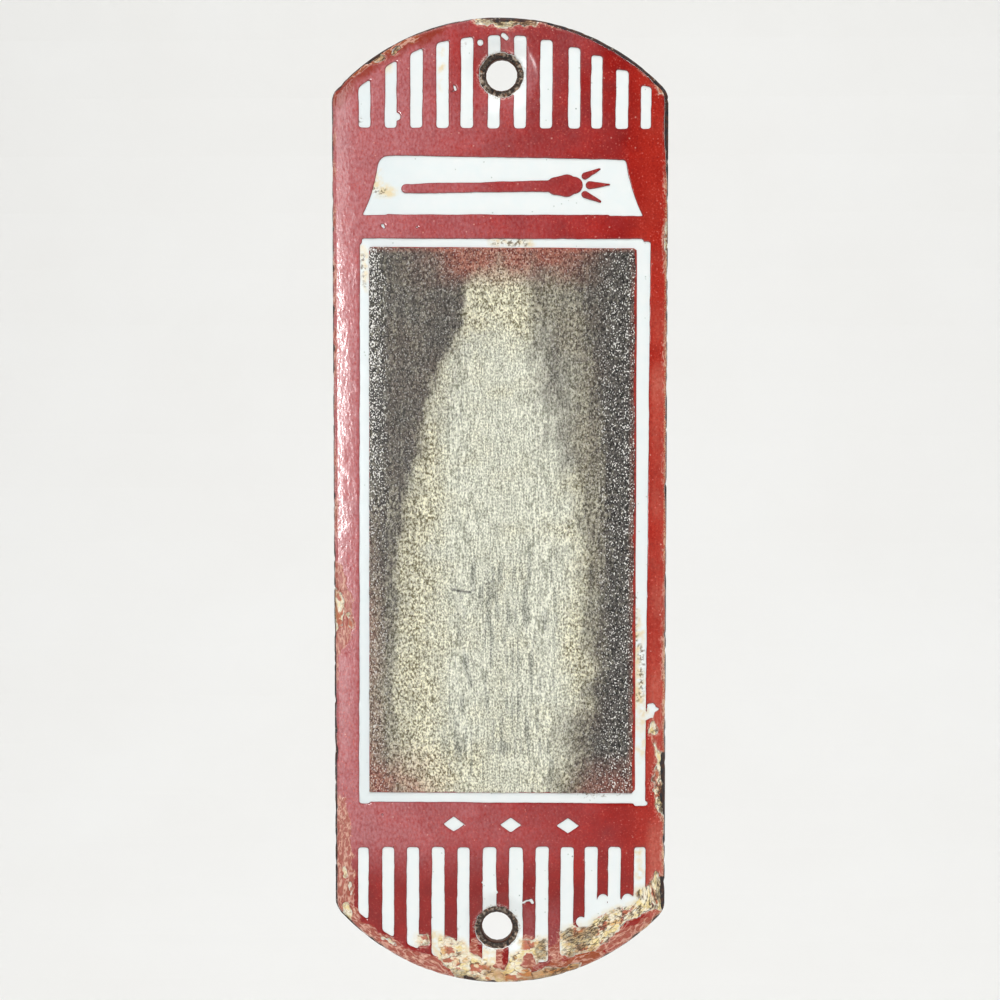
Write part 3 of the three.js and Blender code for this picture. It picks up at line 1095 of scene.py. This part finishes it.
def red_enamel():
    fields = haze_and_sheen, deepened_and_rim_shade, orange, scuffs, peeling, amber, dulled, crumbs_and_glints, around, rim_depth
    piece = layer("red_enamel", RED_SPACING, red_line, over_white, red_head, *fields)
    simplify_foot(piece)
    return piece


def panel_enamel():
    return layer("panel_enamel", PANEL_SPACING, panel_line, over_white, panel_head)


def striking_grit():
    fields = grains, rubbed, warmth, harshness, painted_glints, reddened, soot, scratched
    piece = layer("striking_grit", GRIT_SPACING, grit_line, over_red, grit_head, *fields)
    simplify_foot(piece)
    return piece


# Shader arithmetic

class Value:
    """An output socket. Arithmetic on it adds Math nodes to its tree."""

    def __init__(self, socket):
        self.socket = socket

    def math(self, operation, *operands):
        node = self.socket.id_data.nodes.new("ShaderNodeMath")
        node.operation = operation
        node.use_clamp = operation == "MULTIPLY_ADD"
        for slot, operand in zip(node.inputs, operands):
            feed(slot, operand)
        return Value(node.outputs[0])

    def __add__(self, other):
        return self.math("ADD", self, other)

    def __sub__(self, other):
        return self.math("SUBTRACT", self, other)

    def __rsub__(self, other):
        return self.math("SUBTRACT", other, self)

    def __mul__(self, other):
        return self.math("MULTIPLY", self, other)

    def between(self, start, end):
        """Rises from 0 at start to 1 at end."""
        return self.math("MULTIPLY_ADD", self, 1 / (end - start), -start / (end - start))

    def line(self, width):
        """Is 1 where a noise passes through its middle value and 0 further off than width."""
        return self.math("ABSOLUTE", self - 0.5).between(width, width * 0.3)


def feed(slot, value):
    """Links a socket to a slot, or sets the slot to a plain value."""
    if isinstance(value, Value):
        slot.id_data.links.new(value.socket, slot)
    else:
        slot.default_value = value


def linear(colour):
    """A colour as the eye reads it, from 0 to 255, in the linear form that shaders take."""
    if isinstance(colour, Value):
        return colour
    shares = [channel / 255 for channel in colour]
    return (*[c / 12.92 if c < 0.04045 else ((c + 0.055) / 1.055) ** 2.4 for c in shares], 1)


class Finish:
    """A material, its nodes, and a shader that reads them. Patterns are laid out in millimetres."""

    def __init__(self, name):
        self.material = bpy.data.materials.new(name)
        self.material.use_nodes = True
        self.tree = self.material.node_tree
        self.tree.nodes.clear()
        objects = self.node("ShaderNodeTexCoord", output="Object")
        self.place = self.node(
            "ShaderNodeVectorMath", {"operation": "SCALE"}, {"Vector": objects, "Scale": 1 / MM}
        )

    def node(self, kind, settings=None, inputs=None, output=0):
        node = self.tree.nodes.new(kind)
        for name, value in (settings or {}).items():
            setattr(node, name, value)
        for name, value in (inputs or {}).items():
            feed(node.inputs[name], value)
        return Value(node.outputs[output])

    def point(self, name):
        """A number that the mesh holds for each of its points."""
        return self.node("ShaderNodeAttribute", {"attribute_name": name}, output="Fac")

    def points(self, *names):
        return [self.point(name) for name in names]

    def noise(self, size, detail=2.0, stretch=1.0):
        """Noise from 0 to 1 with bumps about size across, drawn out upwards by stretch."""
        place = {"Vector": self.place, "Scale": (1, 1, 1 / stretch)}
        return self.noise_at(self.node("ShaderNodeMapping", inputs=place), 1 / size, detail)

    def rim_noise(self, size, detail, drawn_out):
        return self.noise_at(self.along_rim(drawn_out), 1 / size, detail)

    def noise_at(self, place, scale, detail, output=0):
        inputs = {"Vector": place, "Scale": scale, "Detail": detail}
        return self.node("ShaderNodeTexNoise", inputs=inputs, output=output)

    def along_rim(self, drawn_out):
        """A place counted along the rim and inwards from it, so that patterns follow the rim."""
        rim = {"X": self.point("around") * (1 / drawn_out), "Y": self.point("rim_depth")}
        return self.node("ShaderNodeCombineXYZ", inputs=rim)

    def random(self, cells):
        """A random number for each cell."""
        tint = self.node("ShaderNodeTexVoronoi", inputs=cells, output="Color")
        return self.node("ShaderNodeSeparateColor", inputs={"Color": tint}, output="Red")

    def cells(self, size, wobble, drawn_out):
        """A random number for each cell of a cracked coat, and how near a place is to the crack."""
        place = self.along_rim(drawn_out)
        drift = self.noise_at(place, 1.1 / size, 3.0, output="Color")
        drifted = {0: drift, 1: (wobble, wobble, 0), 2: place}
        place = self.node("ShaderNodeVectorMath", {"operation": "MULTIPLY_ADD"}, drifted)
        cells = {"Vector": place, "Scale": 1 / size}
        to_edge = {"feature": "DISTANCE_TO_EDGE"}
        edge = self.node("ShaderNodeTexVoronoi", to_edge, cells, output="Distance")
        return self.random(cells), edge.between(0.08, 0.02)

    def specks(self, spacing, radius, share):
        """Small round specks, one to a cell of the given spacing, in a share of the cells."""
        cells = {"Vector": self.place, "Scale": 1 / spacing}
        distance = self.node("ShaderNodeTexVoronoi", inputs=cells, output="Distance")
        size = radius / spacing
        outline = (self.noise(radius, 1.0) * 0.9 + 0.45) * size
        speck = (distance - outline).between(0.12 * size, -0.25 * size)
        return speck * self.random(cells).between(share + 0.01, share - 0.01)

    def mix(self, first, second, share):
        return self.node(
            "ShaderNodeMix",
            {"data_type": "RGBA", "clamp_factor": True},
            {0: share, 6: linear(first), 7: linear(second)},
            output=2,
        )

    def over(self, colour, *coats):
        """A colour under coats of others, each given with the share of it that covers."""
        for coat, share in coats:
            colour = self.mix(colour, coat, share)
        return colour

    def ramp(self, share, *stops):
        """Colours at even steps of a share."""
        node = self.tree.nodes.new("ShaderNodeValToRGB")
        elements = node.color_ramp.elements
        while len(elements) < len(stops):
            elements.new(0.5)
        for index, colour in enumerate(stops):
            elements[index].position = index / (len(stops) - 1)
            elements[index].color = linear(colour)
        feed(node.inputs[0], share)
        return Value(node.outputs[0])

    def bump(self, height, depth, under=None):
        """A normal from a height between 0 and 1 that stands for a depth in millimetres."""
        inputs = {"Height": height, "Distance": depth * MM, "Strength": 1.0}
        if under:
            inputs["Normal"] = under
        return self.node("ShaderNodeBump", inputs=inputs)

    def coat(self, colour, roughness, normal, metallic=0.0):
        inputs = {
            "Base Color": colour,
            "Roughness": roughness,
            "Metallic": metallic,
            "Normal": normal,
            "IOR": ENAMEL_IOR,
        }
        ending = self.tree.nodes.new("ShaderNodeOutputMaterial")
        feed(ending.inputs["Surface"], self.node("ShaderNodeBsdfPrincipled", inputs=inputs))
        return self.material


# Finishes

def rust(finish):
    """Colours of rusted iron."""
    return finish.ramp(finish.noise(0.9, 4.0), (26, 16, 14), (58, 34, 26), (98, 58, 36), (48, 36, 32))


def sheet_iron():
    finish = Finish("sheet_iron")
    grain = finish.noise(0.35, 4.0)
    bright = finish.noise(1.6).between(0.52, 0.66) * 0.5
    colour = finish.mix(rust(finish), (120, 112, 104), bright)
    return finish.coat(colour, grain * 0.3 + 0.55, finish.bump(grain, 0.06), metallic=bright)


def dark_ground_enamel():
    finish = Finish("ground_enamel")
    noise = finish.noise
    rim, ring, bore = finish.points("rim", "ring", "bore")
    mottle = noise(2.4, 4.0) * 0.6 + noise(11.0, 3.0) * 0.4
    grain = noise(0.3).between(0.36, 0.64)
    worn_ring = finish.ramp(grain, (8, 7, 7), (44, 32, 26), (104, 80, 60), (30, 24, 22), (120, 100, 78))
    crust = noise(0.5, 3.0).between(0.5, 0.58) * ring * (1 - bore)
    colour = finish.over(
        finish.ramp(mottle.between(0.3, 0.7), (22, 24, 28), (34, 36, 42), (50, 50, 54)),
        (rust(finish), rim * noise(0.6, 3.0).between(0.36, 0.6) * 0.85),
        (worn_ring, ring * 0.95),
        ((6, 6, 7), bore),
        (finish.mix((150, 100, 62), (220, 210, 194), grain), crust * 0.85),
        ((214, 200, 176), finish.specks(0.5, 0.13, 0.4) * rim * 0.6),
    )
    peel = finish.bump(noise(1.1), 0.02)
    normal = finish.bump(noise(0.22) * (rim + ring), 0.07, under=peel)
    return finish.coat(colour, rim * 0.45 + ring * 0.3 + mottle * 0.12 + 0.18, normal)


def white_glaze():
    finish = Finish("white_enamel")
    noise, rim_noise, specks = finish.noise, finish.rim_noise, finish.specks
    broken, stain, shade, grime = finish.points("broken", "stains", "shade", "grime")
    reddish, amber, charred, around = finish.points("reddish", "amber", "charred", "around")
    crumbs_and_glints, dulled = finish.points("crumbs_and_glints", "dulled")
    flake, crack = finish.cells(1.3, 1.6, 1.4)
    chip, seam = finish.cells(0.45, 0.6, 1.8)
    drift = rim_noise(1.0, 3.0, 1.8)
    shard = finish.ramp(
        drift * 0.9 + flake * 0.3 + chip * 0.14 - 0.17,
        (226, 184, 128), (250, 238, 208), (246, 222, 150), (252, 246, 226),
        (232, 186, 118), (250, 236, 206), (226, 166, 130),
    )
    rusty = finish.ramp(
        rim_noise(0.3, 3.0, 2.6).between(0.32, 0.68),
        (36, 32, 28), (140, 112, 72), (228, 206, 158), (84, 74, 58), (160, 150, 128), (240, 226, 190),
    )
    golden = finish.mix((150, 88, 34), (226, 160, 78), drift.between(0.35, 0.65))
    fibres = rim_noise(0.5, 3.0, 3.0).line(0.05) * rim_noise(1.6, 2.0, 1.5).between(0.34, 0.5)
    fibres = fibres * (around.between(4.5, 7.5) * 0.8 + 0.2)
    shard = finish.over(
        shard,
        ((186, 70, 58), reddish * (drift + flake * 0.3).between(0.7, 0.74) * 0.8),
        (golden, amber * 0.75),
        (rusty, (charred + drift * 0.8).between(0.85, 1.2) * 0.75),
        ((168, 122, 62), seam * noise(0.6).between(0.42, 0.6) * 0.6),
        ((70, 48, 30), fibres * 0.9),
        ((84, 54, 34), crack * noise(0.9).between(0.5, 0.6) * 0.8),
    )
    colour = finish.over(
        finish.mix((236, 245, 245), (246, 248, 246), noise(1.6)),
        ((220, 230, 232), shade * 0.5),
        ((176, 190, 180), specks(1.0, 0.12, 0.42) * 0.6),
        ((120, 138, 128), specks(2.3, 0.13, 0.4) * 0.75),
        ((234, 210, 154), stain * noise(0.8, 3.0).between(0.3, 0.6) * 0.8),
        ((104, 84, 52), grime * noise(0.35).between(0.48, 0.58) * 0.85),
        (shard, broken),
        ((150, 118, 84), crumbs_and_glints * noise(0.24).between(0.5, 0.6) * 0.8),
    )
    peel = finish.bump(noise(1.0, 1.0), 0.006)
    relief = flake * 0.5 + chip * 0.35 + drift * 0.4 - fibres * 0.4
    normal = finish.bump(relief * broken, 0.09, under=peel)
    return finish.coat(colour, broken * 0.3 + stain * 0.1 + dulled * 0.03 + 0.16, normal)


def red_glaze():
    finish = Finish("red_enamel")
    noise, rim_noise, specks = finish.noise, finish.rim_noise, finish.specks
    haze_and_sheen, deep_red_and_rim_shade, orange, scuff = finish.points("haze_and_sheen", "deepened_and_rim_shade", "orange", "scuffs")
    peeling, amber, crumbs_and_glints, dulled = finish.points("peeling", "amber", "crumbs_and_glints", "dulled")
    pebble = noise(0.24, 1.0)
    cloud = noise(0.3, stretch=1.5).between(0.2, 0.76) * 0.65 + 0.2
    # Pink bloom, partly dull bloom and partly painted sheen of the light on the left.
    bloom_and_sheen = haze_and_sheen * (1 - amber * 0.6) * cloud
    film = (peeling + rim_noise(0.9, 3.0, 1.8) * 0.9).between(0.82, 0.98)
    lifted = film * peeling.between(0.02, 0.2)
    veins = rim_noise(0.75, 2.0, 2.4).line(0.04)
    pale = finish.ramp(
        rim_noise(0.4, 3.0, 2.2).between(0.25, 0.75),
        (128, 60, 44), (186, 104, 88), (156, 76, 54), (214, 156, 134), (240, 206, 178),
    )
    outline = 1 - finish.point("depth").between(0.0, 0.16)
    colour = finish.over(
        finish.mix((146, 10, 6), (172, 24, 12), noise(3.5, 3.0).between(0.3, 0.7)),
        ((186, 46, 26), orange * 0.5),
        # Darker red, with painted shade along the rim of the top end.
        ((104, 2, 2), deep_red_and_rim_shade * 0.5),
        ((124, 8, 8), pebble.between(0.54, 0.7) * 0.5),
        # Colour of the bloom and painted sheen, more orange on the right.
        (finish.mix((202, 138, 142), (218, 132, 112), orange), bloom_and_sheen),
        ((214, 96, 82), pebble.between(0.4, 0.28) * (scuff * 0.5 + 0.1)),
        ((222, 120, 108), specks(0.5, 0.11, 0.45) * (scuff * 0.8 + 0.05)),
        ((242, 190, 176), specks(1.1, 0.13, 0.4) * (scuff * 0.8 + 0.05)),
        ((40, 10, 12), specks(2.9, 0.12, 0.25) * 0.8),
        (finish.mix(pale, (178, 104, 48), amber * 0.7), lifted * 0.85),
        ((140, 54, 22), amber * 0.6),
        ((238, 190, 170), veins * peeling.between(0.1, 0.5) * 0.55),
        # Pale crumbs and painted glints along the rim and round the screw holes.
        (
            finish.mix((250, 226, 216), (248, 218, 172), orange),
            crumbs_and_glints * (pebble * 0.5 + noise(0.15, 1.0)).between(0.7, 0.82),
        ),
        ((96, 14, 26), outline * 0.65 * (1 - lifted)),
    )
    broad = finish.bump(noise(0.95, 1.0, stretch=1.8), 0.008)
    fine = finish.bump(noise(0.32, 1.0, stretch=2.0), 0.005, under=broad)
    relief = pebble * (scuff * 0.2) + (lifted * 0.6 + veins * 0.6) * peeling
    roughness = bloom_and_sheen * 0.03 + peeling * 0.2 + scuff * 0.02 + dulled * 0.12 + 0.07
    return finish.coat(colour, roughness, finish.bump(relief, 0.03, under=fine))


def rubbed_panel_enamel():
    finish = Finish("panel_enamel")
    tone = finish.noise(0.7, 3.0)
    colour = finish.ramp(tone.between(0.25, 0.75), (104, 22, 16), (160, 38, 28), (186, 78, 60))
    return finish.coat(colour, tone * 0.3 + 0.3, finish.bump(finish.noise(0.3), 0.02))


def fused_grit():
    finish = Finish("striking_grit")
    mix, noise = finish.mix, finish.noise
    warm, harsh, painted_glints, worn = finish.points("warmth", "harshness", "painted_glints", "rubbed")
    grain, red, soot, scratch = finish.points("grains", "reddened", "soot", "scratched")
    fine = noise(0.2, 1.0, stretch=1.5).between(0.4, 0.6)
    lines = noise(0.24, 1.0, stretch=8.0).between(0.3, 0.7)
    clumps = noise(0.34, 1.0, stretch=1.3).between(0.42, 0.58)
    grain = grain * 0.1 + fine * 0.45 + lines * (0.45 - warm * 0.4) + clumps * (warm * 0.4)
    grain = grain.between(0.15, 0.82)
    pale = (worn + (noise(0.34, stretch=1.6) - 0.5) * 0.9).between(0.06, 0.94)
    cool = noise(4.0).between(0.4, 0.62) * 0.5
    hollow = mix((148, 149, 130), (120, 111, 78), warm)
    peak = mix((252, 252, 234), (255, 251, 222), warm)
    dull = mix(mix((46, 38, 33), (40, 39, 37), cool), (10, 9, 10), harsh)
    bright = mix(mix((112, 102, 92), (106, 105, 99), cool), (98, 93, 88), harsh)
    # Painted glints: bright dots that stand for light glinting on the grit's facets.
    glint_dots = (noise(0.17, 0.0, stretch=1.3) + painted_glints * 0.17 - harsh * 0.01).between(0.64, 0.72)
    colour = finish.over(
        mix(mix(dull, hollow, pale), mix(bright, peak, pale), grain),
        ((56, 50, 40), noise(0.22, 1.0).between(0.34, 0.28) * (warm * 0.15 + pale * 0.25 + 0.15)),
        ((92, 95, 86), soot * (1 - fine * 0.5)),
        ((48, 50, 44), scratch * 0.9),
        (mix((100, 32, 26), (186, 112, 90), grain), red * (1 - fine * 0.3)),
        ((240, 238, 232), glint_dots * (harsh * 0.7 + 0.3)),
    )
    return finish.coat(colour, pale * 0.34 + 0.34, finish.bump(fine, 0.03))


# Stage

# Floor and walls, in metres
FLOOR_DROP = 0.3
FLOOR_SIZE = 16.0
WALL_BEHIND = 1.2
WALL_HEIGHT = 4.0
SIDE_WALL_HEIGHT = 1.4
WALL_BEND = 0.6
BEND_STEPS = 24
ALONG_X, ALONG_Y = 0, 1

SKY_COLOUR = (0.97, 0.98, 1, 1)
SKY_STRENGTH = 0.34


def direction(azimuth, elevation):
    """Unit vector from the plate. Azimuth 0 is straight out from its face, and grows towards +X."""
    level = math.cos(elevation)
    return Vector((math.sin(azimuth) * level, -math.cos(azimuth) * level, math.sin(elevation)))


def lamp(name, azimuth, elevation, distance, width, height, radiance, aim=(0, 0, 0), seen="both"):
    """A soft light, placed from the plate in degrees and metres and turned to a point."""
    light = bpy.data.lights.new(name, "AREA")
    light.shape = "RECTANGLE"
    light.size = width
    light.size_y = height
    light.energy = radiance * width * height * math.pi
    holder = bpy.data.objects.new(name, light)
    bpy.context.collection.objects.link(holder)
    holder.location = direction(math.radians(azimuth), math.radians(elevation)) * distance
    holder.rotation_euler = (holder.location - Vector(aim)).to_track_quat("Z", "Y").to_euler()
    holder.visible_diffuse = seen != "in gloss"
    holder.visible_glossy = seen != "as light"


def raise_walls(sweep, axis, height):
    """Draws up the two edges of the floor that lie at its ends along an axis."""
    edit(sweep, "DESELECT")
    bpy.ops.object.mode_set(mode="OBJECT")
    for edge in sweep.data.edges:
        first, second = (sweep.data.vertices[index].co for index in edge.vertices)
        edge.select = first[axis] * second[axis] > 0 and first.z == second.z == 0
    bpy.ops.object.mode_set(mode="EDIT")
    bpy.ops.mesh.select_mode(type="EDGE")
    bpy.ops.mesh.extrude_region_move(TRANSFORM_OT_translate={"value": (0, 0, height)})
    close_edit(sweep)


def floor():
    """A floor that bends up into a wall behind the plate, and into others far from it."""
    middle = WALL_BEHIND - FLOOR_SIZE / 2
    bpy.ops.mesh.primitive_plane_add(size=FLOOR_SIZE, location=(0, middle, -FLOOR_DROP))
    sweep = bpy.context.object
    sweep.name = "floor"
    raise_walls(sweep, ALONG_Y, WALL_HEIGHT)
    raise_walls(sweep, ALONG_X, SIDE_WALL_HEIGHT)
    bend = sweep.modifiers.new("bend", "BEVEL")
    bend.width = WALL_BEND
    bend.segments = BEND_STEPS
    finish = Finish("studio_floor")
    tone = finish.mix((236, 235, 232), (240, 240, 238), finish.noise(90.0))
    sweep.data.materials.append(finish.coat(tone, 0.9, finish.bump(finish.noise(4.0), 0.05)))


def studio():
    world = bpy.data.worlds.new("studio")
    bpy.context.scene.world = world
    world.use_nodes = True
    sky = world.node_tree.nodes["Background"].inputs
    sky["Color"].default_value = SKY_COLOUR
    sky["Strength"].default_value = SKY_STRENGTH
    lamp("key", -2, 52, 1.1, 0.9, 0.9, 4.2, seen="as light")
    lamp("side_strip", -26.6, -0.7, 1.0, 0.036, 0.17, 66, seen="in gloss")
    lamp("side_glow", -25.3, 2, 1.0, 0.06, 0.5, 4.6, seen="in gloss")
    lamp("wall_wash", 180, 60, 0.9, 1.2, 0.5, 1.5, aim=(0, WALL_BEHIND, -0.1))
    lamp("overhead", 0, 88, 2.6, 3.0, 3.0, 0.9, seen="as light")
    floor()


def camera():
    data = bpy.data.cameras.new("camera")
    data.lens = FOCAL_LENGTH
    data.sensor_width = SENSOR_WIDTH
    data.clip_start = 0.01
    holder = bpy.data.objects.new("camera", data)
    bpy.context.collection.objects.link(holder)
    back_to_camera = direction(CAMERA_AZIMUTH, CAMERA_ELEVATION)
    holder.location = (Vector(CAMERA_TARGET) + back_to_camera * CAMERA_DISTANCE) * MM
    holder.rotation_euler = back_to_camera.to_track_quat("Z", "Y").to_euler()
    bpy.context.scene.camera = holder
    bpy.context.scene.view_settings.view_transform = "Standard"


# Assembly

def dress(piece, node, material):
    """Gives a piece its finish and puts it in the place of its node."""
    piece.data.materials.clear()
    piece.data.materials.append(material)
    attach(piece, "root")
    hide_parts(node)


camera()
studio()
iron = iron_blank()
dress(ground_enamel(iron), "ground_coat", dark_ground_enamel())
dress(iron, "iron_plate", sheet_iron())
dress(white_enamel(), "white_coat", white_glaze())
dress(red_enamel(), "red_coat", red_glaze())
dress(panel_enamel(), "panel_coat", rubbed_panel_enamel())
dress(striking_grit(), "striking_surface", fused_grit())
